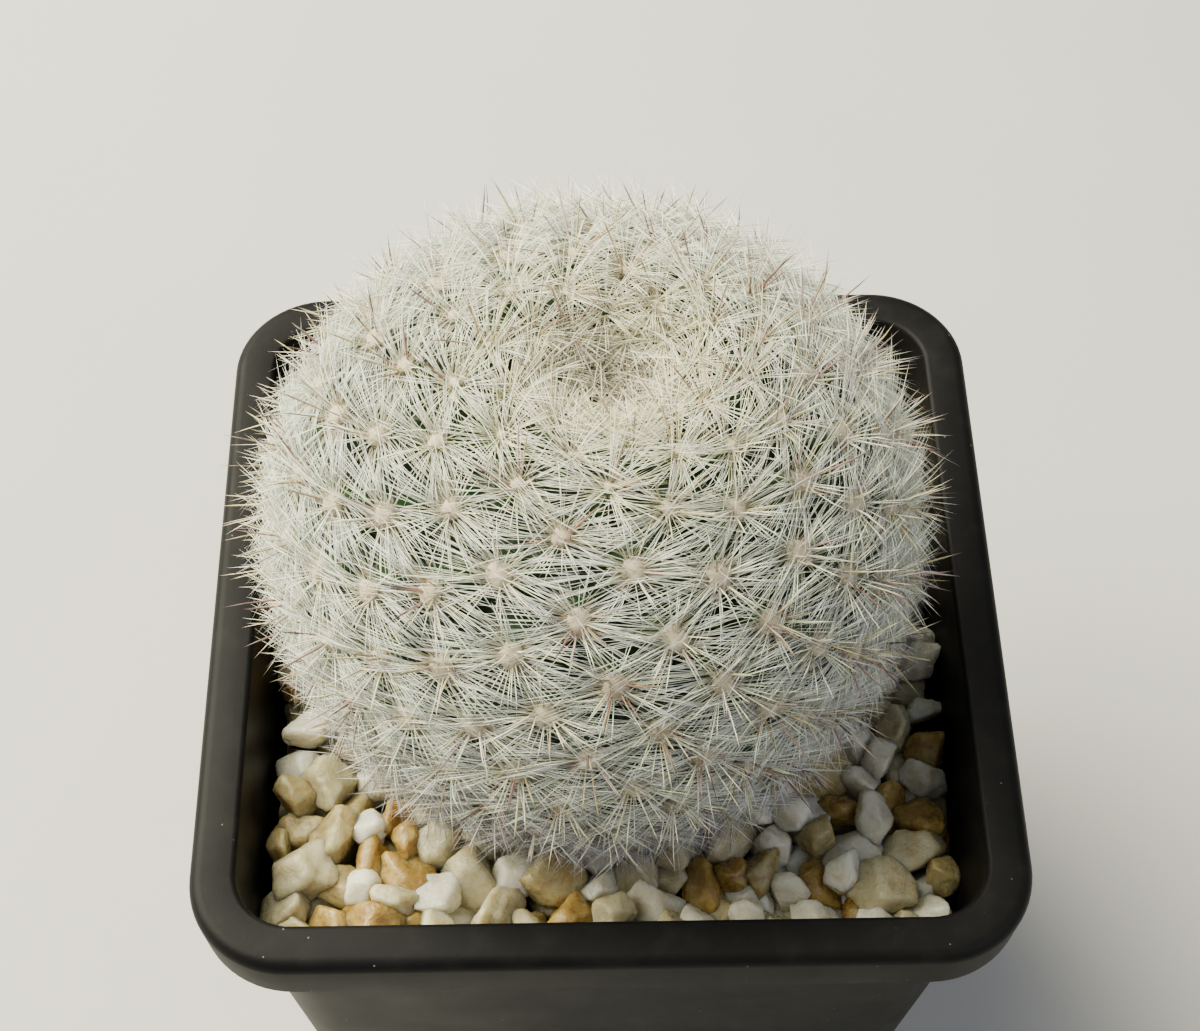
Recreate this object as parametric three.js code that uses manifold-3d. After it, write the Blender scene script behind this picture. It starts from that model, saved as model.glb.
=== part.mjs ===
// A globular snowball cactus in a square plastic nursery pot, on a top dressing of quartz grit.
// Units are millimetres, +Z is up, and the origin is the middle of the pot's underside.
import * as THREE from "three";
import { mergeVertices } from "three/addons/utils/BufferGeometryUtils.js";
import { ConvexHull } from "three/addons/math/ConvexHull.js";
import Module from "manifold-3d";

const wasm = await Module();
wasm.setup();

// Pot
const POT_SIDE = 70; // outside, across the rim's skirt
const POT_HEIGHT = 65;
const POT_BASE = 52; // outside, at the foot
const RIM_BAND = 3.9; // width of the rim's top face
const RIM_CORNER = 8.5; // outer corner radius of the rim
const SKIRT_HEIGHT = 5.6;
const SKIRT_TAPER = 0.25; // the skirt leans in by this at its lower edge
const EDGE_ROUND = 1.1; // rounding between the rim's top face and its skirt
const WALL = 1.0;
const WALL_CORNER = 5.5; // outer corner radius of the wall under the rim
const BASE_CORNER = 4.5;
const FLOOR_RISE = 1.6; // how far the middle of the floor is lifted off the ground
const FOOT_WIDTH = 4.2;
const FOOT_SLOPE = 0.6; // the foot ring leans in by this on its inner side
const FOOT_ROUND = 0.7; // bevel at the ground
const FLOOR_ROUND = 1.5; // bevel between the wall and the floor inside
const LIP_ROUND = 0.4; // bevel between the rim's top face and the wall inside
const LIP_DEPTH = 6; // the wall's inner side starts at this depth under the rim
const NOTCH_WIDTH = 9; // gap in the foot at the middle of each side, which lets water out
const DRAIN_RADIUS = 3.2;
const DRAIN_SPREAD = 12.5;
const DRAIN_SIDES = 14;
const CORNER_STEPS = 5;

// Contents
const GAP = 0.35; // clearance between pieces that touch
const SOIL_TOP = 51.5;
const GRIT_BED_TOP = 56.6; // level that the top stones are set in
const GRAIN_TOP_LIMIT = 59.5;
const GRAIN_SPACING = 4.6;
const GRAIN_WIDTH = 5.3;
const GRAIN_THICKNESS = 4.2;
const GRAIN_SHIFT = 0.5; // how far a stone may be off its place in the rows
const GRAIN_LEAN = 0.4; // and how far it may lean, in radians
const GRAIN_MARGIN = 1; // between the outer stones' middles and the rim, besides half their width
const GRAIN_INNER_RADIUS = 20; // no stone is set nearer to the stem's axis than this

// Cactus body: the surface that the tips of the tubercles lie on
const BODY_RADIUS = 26.3;
const BODY_MIDDLE = 77.2;
const BODY_RISE = 21.2; // from the middle to the shoulder
const BODY_DROP = 22.5; // from the middle to the buried underside
const SQUARENESS_UP = 2.4; // exponent of the profile, where 2 is an ellipse
const SQUARENESS_DOWN = 2.5;
const DIMPLE_DEPTH = 5.0;
const DIMPLE_RADIUS = 6.2;
const AXIS_X = -1.2; // the plant stands a little off the pot's middle
const CROWN_X = 1.7; // and its growing point a little off its own axis
const CROWN_Y = 1.2;
const COLLAR = 60; // tubercles stand above this height, and the stem is plain below it
const STEM_CLEARANCE = 0.6; // between the buried stem and the hollow that it stands in
const UNDERSIDE = BODY_MIDDLE - BODY_DROP;
const ROOT_TOP_RADIUS = 7;
const ROOT_MIDDLE_RADIUS = 5.5;
const ROOT_TIP_RADIUS = 2.5;
const ROOT_TIP = 24;
const ROOT_CLEARANCE = 0.8;

// Tubercles
const GOLDEN_ANGLE = Math.PI * (3 - Math.sqrt(5));
const CELL_FULL = 36; // square millimetres of surface for a grown tubercle
const CELL_YOUNG = 13; // and for one at the growing point
const CELL_BURIED = 110; // and for a facet of the buried underside
const YOUNG_REACH = 15; // the young ones lie within this distance of the growing point
const VALLEY_SHARE = 0.62; // depth of the valleys as a share of the spacing
const AREOLE_OUTER = 0.98;
const AREOLE_INNER = 0.55;
const AREOLE_DROP = 0.6;
const AREOLE_DOME = 0.12; // height of the areole's middle above its inner ring
const AREOLE_YOUNG = 0.7; // size of a young areole as a share of a grown one

// Spines
const RADIAL_LENGTH = 6.4;
const CENTRAL_LENGTH = 5.9;
const LENGTH_SPREAD = 0.1; // a spine may be this share shorter or longer
const YOUNG_LENGTH = 0.62; // share of the full length at the growing point
const RADIAL_TILT = 19; // degrees above the surface
const YOUNG_TILT = 10; // and so much more at the growing point
const CENTRAL_TILT = 62;
const TILT_SPREAD = 4;
const TILT_EASE = 26; // how much steeper a spine may grow where the flatter ways are taken
const TURN_SPREAD = 0.1;
const TURN_EASE = 0.16;
const SPINE_ROOT = 0.56; // half thickness at the root, for clearance between spines
const SPINE_TIP = 0.05;
const SPINE_CLEARANCE = 0.06;
const SISTER_SKIP = 0.3; // spines of one areole may touch in this first share of their length
const SPINE_FLOOR = 59.9; // no spine comes lower than this
const AREOLE_CLEARANCE = 1.5; // between a spine and the tips of other tubercles
const POT_CLEARANCE = 0.5;
const SPINE_TRIES = 60;

function randomFrom(seed) {
  let state = seed;
  return () => {
    state = (state + 0x6d2b79f5) | 0;
    let t = Math.imul(state ^ (state >>> 15), 1 | state);
    t = (t + Math.imul(t ^ (t >>> 7), 61 | t)) ^ t;
    return ((t ^ (t >>> 14)) >>> 0) / 4294967296;
  };
}

const between = (random, low, high) => low + (high - low) * random();
const either = (random, reach) => between(random, -reach, reach);
const smooth = (t) => {
  const x = Math.min(1, Math.max(0, t));
  return x * x * (3 - 2 * x);
};

// A closed geometry as a solid, and a solid as a geometry
function solidOf(geometry) {
  const bare = geometry.clone();
  bare.deleteAttribute("normal");
  bare.deleteAttribute("uv");
  const merged = mergeVertices(bare, 1e-4);
  return new wasm.Manifold(
    new wasm.Mesh({
      numProp: 3,
      vertProperties: new Float32Array(merged.attributes.position.array),
      triVerts: new Uint32Array(merged.index.array),
    }),
  );
}

function geometryOf(solid) {
  const mesh = solid.getMesh();
  const geometry = new THREE.BufferGeometry();
  geometry.setAttribute("position", new THREE.BufferAttribute(mesh.vertProperties, 3));
  geometry.setIndex(new THREE.BufferAttribute(mesh.triVerts, 1));
  const flat = geometry.toNonIndexed();
  flat.computeVertexNormals();
  return flat;
}

function geometryFrom(points, triangles) {
  const geometry = new THREE.BufferGeometry();
  const flat = points.flatMap((p) => [p.x, p.y, p.z]);
  geometry.setAttribute("position", new THREE.Float32BufferAttribute(flat, 3));
  geometry.setIndex(triangles.flat());
  return geometry;
}

// A square with round corners, anticlockwise from above
function roundedSquare(side, corner, z) {
  const points = [];
  const inset = side / 2 - corner;
  for (let quarter = 0; quarter < 4; quarter++) {
    const middle = Math.PI / 4 + (quarter * Math.PI) / 2;
    const cx = inset * Math.SQRT2 * Math.cos(middle);
    const cy = inset * Math.SQRT2 * Math.sin(middle);
    for (let i = 0; i <= CORNER_STEPS; i++) {
      const angle = (quarter + i / CORNER_STEPS) * (Math.PI / 2);
      points.push(new THREE.Vector3(cx + corner * Math.cos(angle), cy + corner * Math.sin(angle), z));
    }
  }
  return points;
}

// Skin over a stack of rings, closed by a fan at each end
function loft(rings) {
  const count = rings[0].length;
  const points = rings.flat();
  const triangles = [];
  for (let r = 0; r + 1 < rings.length; r++) {
    for (let i = 0; i < count; i++) {
      const a = r * count + i;
      const b = r * count + ((i + 1) % count);
      triangles.push([a, b, b + count], [a, b + count, a + count]);
    }
  }
  const last = (rings.length - 1) * count;
  const centre = (ring) => ring.reduce((sum, p) => sum.add(p), new THREE.Vector3()).divideScalar(count);
  points.push(centre(rings[0]), centre(rings.at(-1)));
  for (let i = 0; i < count; i++) {
    const next = (i + 1) % count;
    triangles.push([points.length - 2, next, i], [points.length - 1, last + i, last + next]);
  }
  return geometryFrom(points, triangles);
}

// The pot's wall as a function of height: its outer side and corner
const WALL_TOP_SIDE = POT_SIDE - 2 * RIM_BAND + 2 * WALL;
function wallAt(z) {
  const t = z / POT_HEIGHT;
  return {
    side: POT_BASE + (WALL_TOP_SIDE - POT_BASE) * t,
    corner: BASE_CORNER + (WALL_CORNER - BASE_CORNER) * t,
  };
}

function insideRing(z, gap) {
  const { side, corner } = wallAt(z);
  return roundedSquare(side - 2 * (WALL + gap), corner - WALL, z);
}

function makePot() {
  const outer = (z, inset = 0) => {
    const { side, corner } = wallAt(z);
    return roundedSquare(side - 2 * inset, Math.max(1, corner - inset), z);
  };
  const skirtBottom = POT_HEIGHT - SKIRT_HEIGHT;
  const skirtInner = POT_SIDE - 2 * WALL;
  const rings = [
    outer(FLOOR_RISE, 2 * FOOT_WIDTH),
    outer(FLOOR_RISE, FOOT_WIDTH + FOOT_SLOPE),
    outer(0, FOOT_WIDTH),
    outer(0, FOOT_ROUND),
    outer(FOOT_ROUND),
    outer(skirtBottom),
    outer(POT_HEIGHT - WALL),
    roundedSquare(skirtInner, RIM_CORNER - WALL, POT_HEIGHT - WALL),
    roundedSquare(skirtInner - 2 * SKIRT_TAPER, RIM_CORNER - WALL, skirtBottom),
    roundedSquare(POT_SIDE - 2 * SKIRT_TAPER, RIM_CORNER, skirtBottom),
  ];
  const edgeSteps = 3;
  for (let i = 0; i <= edgeSteps; i++) {
    const angle = (i / edgeSteps) * (Math.PI / 2);
    const inset = EDGE_ROUND * (1 - Math.cos(angle));
    const height = POT_HEIGHT - EDGE_ROUND * (1 - Math.sin(angle));
    rings.push(roundedSquare(POT_SIDE - 2 * inset, RIM_CORNER - inset, height));
  }
  const lip = POT_SIDE - 2 * RIM_BAND;
  const lipCorner = WALL_CORNER - WALL;
  rings.push(roundedSquare(lip + 2 * LIP_ROUND, lipCorner + LIP_ROUND, POT_HEIGHT));
  rings.push(roundedSquare(lip, lipCorner, POT_HEIGHT - LIP_ROUND));
  rings.push(insideRing(POT_HEIGHT - LIP_DEPTH, 0));
  rings.push(insideRing(FLOOR_RISE + WALL + FLOOR_ROUND, 0));
  rings.push(insideRing(FLOOR_RISE + WALL, FLOOR_ROUND));
  let pot = solidOf(loft(rings));

  const drainDepth = 4 * (FLOOR_RISE + WALL);
  const drain = new THREE.CylinderGeometry(DRAIN_RADIUS, DRAIN_RADIUS, drainDepth, DRAIN_SIDES);
  drain.rotateX(Math.PI / 2);
  const spots = [[0, 0]];
  for (const x of [-1, 1]) {
    for (const y of [-1, 1]) {
      spots.push([x * DRAIN_SPREAD, y * DRAIN_SPREAD]);
    }
  }
  for (const [x, y] of spots) {
    pot = pot.subtract(solidOf(drain.clone().translate(x, y, 0)));
  }
  const reach = 1.1 * POT_BASE;
  const notchHeight = 0.8 * FLOOR_RISE;
  pot = pot.subtract(solidOf(new THREE.BoxGeometry(NOTCH_WIDTH, reach, 2 * notchHeight)));
  pot = pot.subtract(solidOf(new THREE.BoxGeometry(reach, NOTCH_WIDTH, 2 * notchHeight)));
  return geometryOf(pot);
}

// The body's profile from the growing point to the underside, as radius and height along its length
function profilePoint(theta) {
  const up = theta < Math.PI / 2;
  const power = 2 / (up ? SQUARENESS_UP : SQUARENESS_DOWN);
  const radius = BODY_RADIUS * Math.sin(theta) ** power;
  const rise = Math.abs(Math.cos(theta)) ** power;
  const dimple = up ? DIMPLE_DEPTH * Math.exp(-((radius / DIMPLE_RADIUS) ** 2)) : 0;
  const height = BODY_MIDDLE + (up ? BODY_RISE : -BODY_DROP) * rise - dimple;
  return { radius, height };
}

const PROFILE_STEPS = 2400;
const PLAIN_BELOW = COLLAR - 1.5;
function makeProfile() {
  const rows = [];
  let along = 0;
  let cells = 0;
  let isothermal = 0;
  let previous = { radius: 0, height: profilePoint(0).height };
  for (let i = 1; i < PROFILE_STEPS; i++) {
    const up = i < PROFILE_STEPS / 2;
    const point = profilePoint((i / PROFILE_STEPS) * Math.PI);
    const step = Math.hypot(point.radius - previous.radius, point.height - previous.height);
    const slopeR = (point.radius - previous.radius) / step;
    const slopeZ = (point.height - previous.height) / step;
    along += step;
    const buried = !up && point.height < PLAIN_BELOW;
    const grownCell = CELL_YOUNG + (CELL_FULL - CELL_YOUNG) * smooth(along / YOUNG_REACH);
    const cell = buried ? CELL_BURIED : grownCell;
    const middleRadius = (point.radius + previous.radius) / 2;
    cells += (2 * Math.PI * middleRadius * step) / cell;
    isothermal += step / Math.max(middleRadius, 1e-3);
    rows.push({ ...point, along, cells, cell, isothermal, normalR: -slopeZ, normalZ: slopeR });
    previous = point;
  }
  const equator = rows[Math.floor(PROFILE_STEPS / 2)].isothermal;
  for (const row of rows) {
    row.polar = 2 * Math.atan(Math.exp(row.isothermal - equator));
  }
  return rows;
}

// Tubercles stand on a spiral of the golden angle, one for each cell of surface
function makeTubercles(profile) {
  const tubercles = [];
  let row = 0;
  const total = Math.floor(profile.at(-1).cells - 0.6);
  for (let i = 0; i < total; i++) {
    while (profile[row].cells < i + 0.5) {
      row++;
    }
    const at = profile[row];
    const turn = i * GOLDEN_ANGLE;
    const out = new THREE.Vector3(Math.cos(turn), Math.sin(turn), 0);
    const up = new THREE.Vector3(0, 0, 1);
    tubercles.push({
      tip: out.clone().multiplyScalar(at.radius).addScaledVector(up, at.height),
      normal: out.clone().multiplyScalar(at.normalR).addScaledVector(up, at.normalZ).normalize(),
      onSphere: new THREE.Vector3(
        Math.sin(at.polar) * Math.cos(turn),
        Math.sin(at.polar) * Math.sin(turn),
        Math.cos(at.polar),
      ),
      spacing: Math.sqrt(at.cell * 1.155),
      grown: smooth(at.along / YOUNG_REACH),
      plain: at.height < COLLAR && at.along > YOUNG_REACH,
    });
  }
  return tubercles;
}

// Triangles between neighbouring tubercles: each one is a valley corner that three of them share
function neighbours(tubercles) {
  const spots = tubercles.map((t) => t.onSphere);
  const index = new Map(spots.map((spot, i) => [spot, i]));
  const hull = new ConvexHull().setFromPoints(spots);
  return hull.faces.map((face) => {
    const first = face.edge;
    return [first, first.next, first.next.next].map((edge) => index.get(edge.head().point));
  });
}

function makeCorners(tubercles, faces) {
  return faces.map((face) => {
    const three = face.map((i) => tubercles[i]);
    const point = new THREE.Vector3();
    const normal = new THREE.Vector3();
    for (const t of three) {
      point.addScaledVector(t.tip, 1 / 3);
      normal.add(t.normal);
    }
    const spacing = Math.min(...three.map((t) => t.spacing));
    const depth = three.some((t) => t.plain) ? 0 : VALLEY_SHARE * spacing;
    return point.addScaledVector(normal.normalize(), -depth);
  });
}

// Distance between two tapered spines, less their thickness where they pass closest.
// The first share of their length, skip, isn't looked at.
function clearance(a, b, skip) {
  const startA = a.root.clone().lerp(a.tip, skip);
  const startB = b.root.clone().lerp(b.tip, skip);
  const d1 = a.tip.clone().sub(startA);
  const d2 = b.tip.clone().sub(startB);
  const r = startA.clone().sub(startB);
  const aa = d1.dot(d1);
  const ee = d2.dot(d2);
  const bb = d1.dot(d2);
  const cc = d1.dot(r);
  const ff = d2.dot(r);
  const clamp = (x) => Math.min(1, Math.max(0, x));
  const denominator = aa * ee - bb * bb;
  let s = denominator > 1e-9 ? clamp((bb * ff - cc * ee) / denominator) : 0;
  let t = (bb * s + ff) / ee;
  if (t < 0 || t > 1) {
    t = clamp(t);
    s = clamp((bb * t - cc) / aa);
  }
  const gap = r.addScaledVector(d1, s).addScaledVector(d2, -t).length();
  const thickness = (share) => SPINE_ROOT + (SPINE_TIP - SPINE_ROOT) * (skip + (1 - skip) * share);
  return gap - thickness(s) - thickness(t);
}

function distanceToPoint(spine, point) {
  const along = spine.tip.clone().sub(spine.root);
  const share = point.clone().sub(spine.root).dot(along) / along.lengthSq();
  return spine.root.clone().addScaledVector(along, Math.min(1, Math.max(0, share))).distanceTo(point);
}

// Whether a spine comes too near to the pot's wall or rim
function meetsPot(spine) {
  const samples = 4;
  for (let i = 1; i <= samples; i++) {
    const point = spine.root.clone().lerp(spine.tip, i / samples);
    const half = wallAt(point.z).side / 2 - WALL - POT_CLEARANCE;
    const out = Math.max(Math.abs(point.x + AXIS_X), Math.abs(point.y));
    if (point.z < POT_HEIGHT + POT_CLEARANCE && out > half) {
      return true;
    }
  }
  return false;
}

// Tries directions near the wanted one, and steeper ones later, until the spine is clear of all others
function growSpine(random, from, tubercle, wanted, standing, tips) {
  for (let attempt = 0; attempt < SPINE_TRIES; attempt++) {
    const loose = attempt / SPINE_TRIES;
    const turn = wanted.turn + either(random, TURN_SPREAD + TURN_EASE * loose);
    const steeper = either(random, TILT_SPREAD) + TILT_EASE * loose * random();
    const tilt = THREE.MathUtils.degToRad(wanted.tilt + steeper);
    const young = YOUNG_LENGTH + (1 - YOUNG_LENGTH) * tubercle.grown;
    const length = wanted.length * young * (1 + either(random, LENGTH_SPREAD)) * (1 - loose / 3);
    const flat = tubercle.east.clone().multiplyScalar(Math.cos(turn));
    flat.addScaledVector(tubercle.north, Math.sin(turn));
    const way = flat.multiplyScalar(Math.cos(tilt)).addScaledVector(tubercle.normal, Math.sin(tilt));
    const spine = { root: from, tip: from.clone().addScaledVector(way, length), owner: tubercle };
    if (spine.tip.z < SPINE_FLOOR || meetsPot(spine)) {
      continue;
    }
    const skip = (other) => (other.owner === tubercle ? SISTER_SKIP : 0);
    const meets = (other) => clearance(spine, other, skip(other)) < SPINE_CLEARANCE;
    const hits = (tip) => tip !== tubercle.tip && distanceToPoint(spine, tip) < AREOLE_CLEARANCE;
    if (!standing.some(meets) && !tips.some(hits)) {
      standing.push(spine);
      return spine.tip;
    }
  }
  return null;
}

function makeCactus() {
  const random = randomFrom(20);
  const profile = makeProfile();
  const tubercles = makeTubercles(profile);
  const faces = neighbours(tubercles);
  const corners = makeCorners(tubercles, faces);
  const points = corners.slice();
  const triangles = [];
  const addPoint = (point) => points.push(point) - 1;
  const standing = [];
  const tips = tubercles.filter((t) => !t.plain).map((t) => t.tip);

  for (const tubercle of tubercles) {
    tubercle.east = new THREE.Vector3(0, 0, 1).cross(tubercle.normal).normalize();
    tubercle.north = tubercle.normal.clone().cross(tubercle.east);
  }
  tubercles.forEach((tubercle, i) => {
    const { tip, normal, east, north, grown } = tubercle;
    const place = (turn, radius, drop) => {
      const point = tip.clone().addScaledVector(normal, -drop);
      point.addScaledVector(east, Math.cos(turn) * radius);
      return point.addScaledVector(north, Math.sin(turn) * radius);
    };
    const ring = [];
    faces.forEach((face, f) => {
      if (face.includes(i)) {
        const offset = corners[f].clone().sub(tip);
        ring.push({ corner: f, turn: Math.atan2(offset.dot(north), offset.dot(east)) });
      }
    });
    ring.sort((a, b) => a.turn - b.turn);
    const count = ring.length;
    if (tubercle.plain) {
      const middle = addPoint(tip);
      ring.forEach((here, j) => {
        triangles.push([here.corner, ring[(j + 1) % count].corner, middle]);
      });
      return;
    }

    // The sides rise from the valley to the areole, which is an outer ring, an inner ring and a middle
    const size = AREOLE_YOUNG + (1 - AREOLE_YOUNG) * grown;
    const halfway = (j) => {
      const next = ring[(j + 1) % count].turn + (j + 1 === count ? 2 * Math.PI : 0);
      return (ring[j].turn + next) / 2;
    };
    const outer = ring.map((r) => addPoint(place(r.turn, AREOLE_OUTER * size, AREOLE_DROP)));
    const inner = ring.map((_, j) => addPoint(place(halfway(j), AREOLE_INNER * size, AREOLE_DOME)));
    const middle = addPoint(place(0, 0, 0));
    const spots = [];
    for (let j = 0; j < count; j++) {
      const k = (j + 1) % count;
      triangles.push([ring[j].corner, ring[k].corner, outer[k]], [ring[j].corner, outer[k], outer[j]]);
      spots.push({ face: [outer[j], outer[k], inner[j]], turn: halfway(j), radial: true });
      spots.push({ face: [outer[k], inner[k], inner[j]], turn: ring[k].turn, radial: true });
    }
    const spare = Math.floor(random() * 3);
    spots.forEach((spot, j) => {
      spot.bare = j % 3 === spare;
    });
    const firstCentral = Math.floor(random() * count);
    for (let j = 0; j < count; j++) {
      const face = [inner[j], inner[(j + 1) % count], middle];
      const bare = (j + firstCentral) % 3 !== 0;
      spots.push({ face, turn: ring[(j + 1) % count].turn, bare });
    }
    for (const { face, turn, radial, bare } of spots) {
      const [a, b, c] = face;
      const from = points[a].clone().add(points[b]).add(points[c]).divideScalar(3);
      const wanted = radial
        ? { turn, tilt: RADIAL_TILT + YOUNG_TILT * (1 - grown), length: RADIAL_LENGTH }
        : { turn, tilt: CENTRAL_TILT, length: CENTRAL_LENGTH };
      const end = bare ? null : growSpine(random, from, tubercle, wanted, standing, tips);
      if (end) {
        const point = addPoint(end);
        triangles.push([a, b, point], [b, c, point], [c, a, point]);
      } else {
        triangles.push(face);
      }
    }
  });

  const rootSides = 12;
  const inBody = 3;
  const outline = rootOutline(0);
  for (const radius of [ROOT_TOP_RADIUS, 0]) {
    outline.push(new THREE.Vector2(radius, UNDERSIDE + inBody));
  }
  const root = new THREE.LatheGeometry(outline, rootSides).rotateX(Math.PI / 2);
  const plant = geometryOf(solidOf(geometryFrom(points, triangles)).add(solidOf(root)));
  const spots = plant.attributes.position;
  for (let i = 0; i < spots.count; i++) {
    const out = Math.hypot(spots.getX(i), spots.getY(i)) / BODY_RADIUS;
    const share = spots.getZ(i) > BODY_MIDDLE ? smooth(1 - out) : 0;
    spots.setX(i, spots.getX(i) + CROWN_X * share);
    spots.setY(i, spots.getY(i) + CROWN_Y * share);
  }
  plant.computeVertexNormals();
  return plant;
}

// The root's outline from its tip to under the body, with a clearance all round
function rootOutline(clearance) {
  const length = UNDERSIDE - ROOT_TIP;
  return [
    [0, ROOT_TIP - clearance],
    [ROOT_TIP_RADIUS + clearance, ROOT_TIP + 0.03 * length],
    [ROOT_MIDDLE_RADIUS + clearance, ROOT_TIP + 0.74 * length],
    [ROOT_TOP_RADIUS + clearance, ROOT_TIP + 0.95 * length],
  ].map(([radius, height]) => new THREE.Vector2(radius, height));
}

// The hollow that the buried part of the stem and its root stand in
function stemHollow() {
  const outline = rootOutline(ROOT_CLEARANCE);
  const sides = 32;
  const steps = 6;
  for (let i = 0; i <= steps; i++) {
    const height = UNDERSIDE - STEM_CLEARANCE + (i / steps) * (COLLAR + 2 - UNDERSIDE);
    const down = Math.max(0, (BODY_MIDDLE - height - STEM_CLEARANCE) / BODY_DROP);
    const stem = BODY_RADIUS * Math.max(0, 1 - down ** SQUARENESS_DOWN) ** (1 / SQUARENESS_DOWN);
    outline.push(new THREE.Vector2(Math.max(ROOT_TOP_RADIUS + 1, stem + STEM_CLEARANCE), height));
  }
  outline.push(new THREE.Vector2(0, outline.at(-1).y));
  return solidOf(new THREE.LatheGeometry(outline, sides).rotateX(Math.PI / 2).translate(AXIS_X, 0, 0));
}

// A rounded, faceted stone: an icosahedron with its corners pushed in and out, tipped and turned
function makeGrain(random) {
  const ball = new THREE.IcosahedronGeometry(0.5, 0);
  ball.deleteAttribute("normal");
  ball.deleteAttribute("uv");
  const stone = mergeVertices(ball, 1e-4);
  const spots = stone.attributes.position;
  for (let i = 0; i < spots.count; i++) {
    const push = between(random, 0.85, 1.2);
    spots.setXYZ(i, spots.getX(i) * push, spots.getY(i) * push, spots.getZ(i) * push);
  }
  const size = between(random, 0.84, 1.1);
  stone.scale(GRAIN_WIDTH * size, GRAIN_WIDTH * size * between(random, 0.72, 0.95), GRAIN_THICKNESS * size);
  const tip = new THREE.Euler(either(random, GRAIN_LEAN), either(random, GRAIN_LEAN), 0);
  stone.applyMatrix4(new THREE.Matrix4().makeRotationFromEuler(tip));
  stone.rotateZ(random() * 2 * Math.PI);
  return stone;
}

function makeGrit() {
  const random = randomFrom(7);
  const bottom = SOIL_TOP + GAP;
  const bed = solidOf(loft([insideRing(bottom, GAP), insideRing(GRIT_BED_TOP, GAP)]));
  const stones = [bed];
  const half = POT_SIDE / 2 - RIM_BAND - GRAIN_MARGIN - GRAIN_WIDTH / 2;
  const rows = Math.round((2 * half) / (GRAIN_SPACING * Math.sin(Math.PI / 3)));
  const columns = Math.round((2 * half) / GRAIN_SPACING);
  for (let row = 0; row <= rows; row++) {
    const odd = row % 2;
    for (let column = 0; column <= columns - odd; column++) {
      const x = -half + ((column + odd / 2) * 2 * half) / columns + either(random, GRAIN_SHIFT);
      const y = -half + (row * 2 * half) / rows + either(random, GRAIN_SHIFT);
      const stone = makeGrain(random);
      if (Math.hypot(x - AXIS_X, y) > GRAIN_INNER_RADIUS) {
        stone.computeBoundingBox();
        const highest = GRAIN_TOP_LIMIT - stone.boundingBox.max.z;
        const z = Math.min(highest, GRIT_BED_TOP + between(random, -0.3, 0.9));
        stones.push(solidOf(stone.translate(x, y, z)));
      }
    }
  }
  const room = solidOf(loft([insideRing(bottom - 1, GAP), insideRing(GRAIN_TOP_LIMIT + 1, GAP)]));
  const joined = wasm.Manifold.union(stones).intersect(room).subtract(stemHollow());
  const largest = joined.decompose().sort((a, b) => b.volume() - a.volume())[0];
  return geometryOf(largest);
}

function makeSoil() {
  const floor = FLOOR_RISE + WALL + GAP;
  const block = solidOf(loft([insideRing(floor, 2), insideRing(floor + 2, GAP), insideRing(SOIL_TOP, GAP)]));
  return geometryOf(block.subtract(stemHollow()));
}

const material = (color, roughness) => new THREE.MeshStandardMaterial({ color, roughness, metalness: 0 });

const group = new THREE.Group();
function addPiece(name, geometry, finish) {
  const mesh = new THREE.Mesh(geometry, finish);
  mesh.name = name;
  group.add(mesh);
  return mesh;
}

addPiece("pot", makePot(), material(0x242527, 0.5));
addPiece("soil", makeSoil(), material(0x3a2c22, 0.95));
addPiece("grit", makeGrit(), material(0xd9cdb4, 0.55));
addPiece("cactus", makeCactus(), material(0xdcd8c8, 0.7)).position.x = AXIS_X;

export default group;
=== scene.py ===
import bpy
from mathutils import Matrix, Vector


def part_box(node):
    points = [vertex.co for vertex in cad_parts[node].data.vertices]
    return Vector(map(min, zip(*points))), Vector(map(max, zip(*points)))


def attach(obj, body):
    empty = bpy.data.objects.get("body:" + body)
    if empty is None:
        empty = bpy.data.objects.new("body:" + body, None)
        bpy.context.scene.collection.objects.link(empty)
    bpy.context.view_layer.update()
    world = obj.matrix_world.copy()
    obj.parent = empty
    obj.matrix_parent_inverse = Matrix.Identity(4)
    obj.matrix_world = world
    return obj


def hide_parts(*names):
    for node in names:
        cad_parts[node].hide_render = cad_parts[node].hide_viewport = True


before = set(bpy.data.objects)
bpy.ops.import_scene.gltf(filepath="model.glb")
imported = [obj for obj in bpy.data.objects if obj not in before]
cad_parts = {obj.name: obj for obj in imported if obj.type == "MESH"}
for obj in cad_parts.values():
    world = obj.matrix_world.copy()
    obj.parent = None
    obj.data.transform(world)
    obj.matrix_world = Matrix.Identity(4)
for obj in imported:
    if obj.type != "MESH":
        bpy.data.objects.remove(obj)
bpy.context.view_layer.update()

import copy
import math

import bmesh
import bpy
import numpy as np
from mathutils import Matrix, Vector

# A snowball cactus in a square nursery pot, top-dressed with quartz grit.
# Sizes are in millimetres, and become metres as the objects are made.
MM = 0.001

# Levels and sizes that the frame gives
pot_low, pot_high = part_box("pot")
grit_low, grit_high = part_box("grit")
soil_low, soil_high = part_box("soil")
cactus_low, cactus_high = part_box("cactus")
POT_SIDE = (pot_high.x - pot_low.x) / MM
POT_HEIGHT = pot_high.z / MM
SOIL_TOP = soil_high.z / MM
GRIT_TOP = grit_high.z / MM
ROOT_TIP = cactus_low.z / MM
CACTUS_TOP = cactus_high.z / MM

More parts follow.
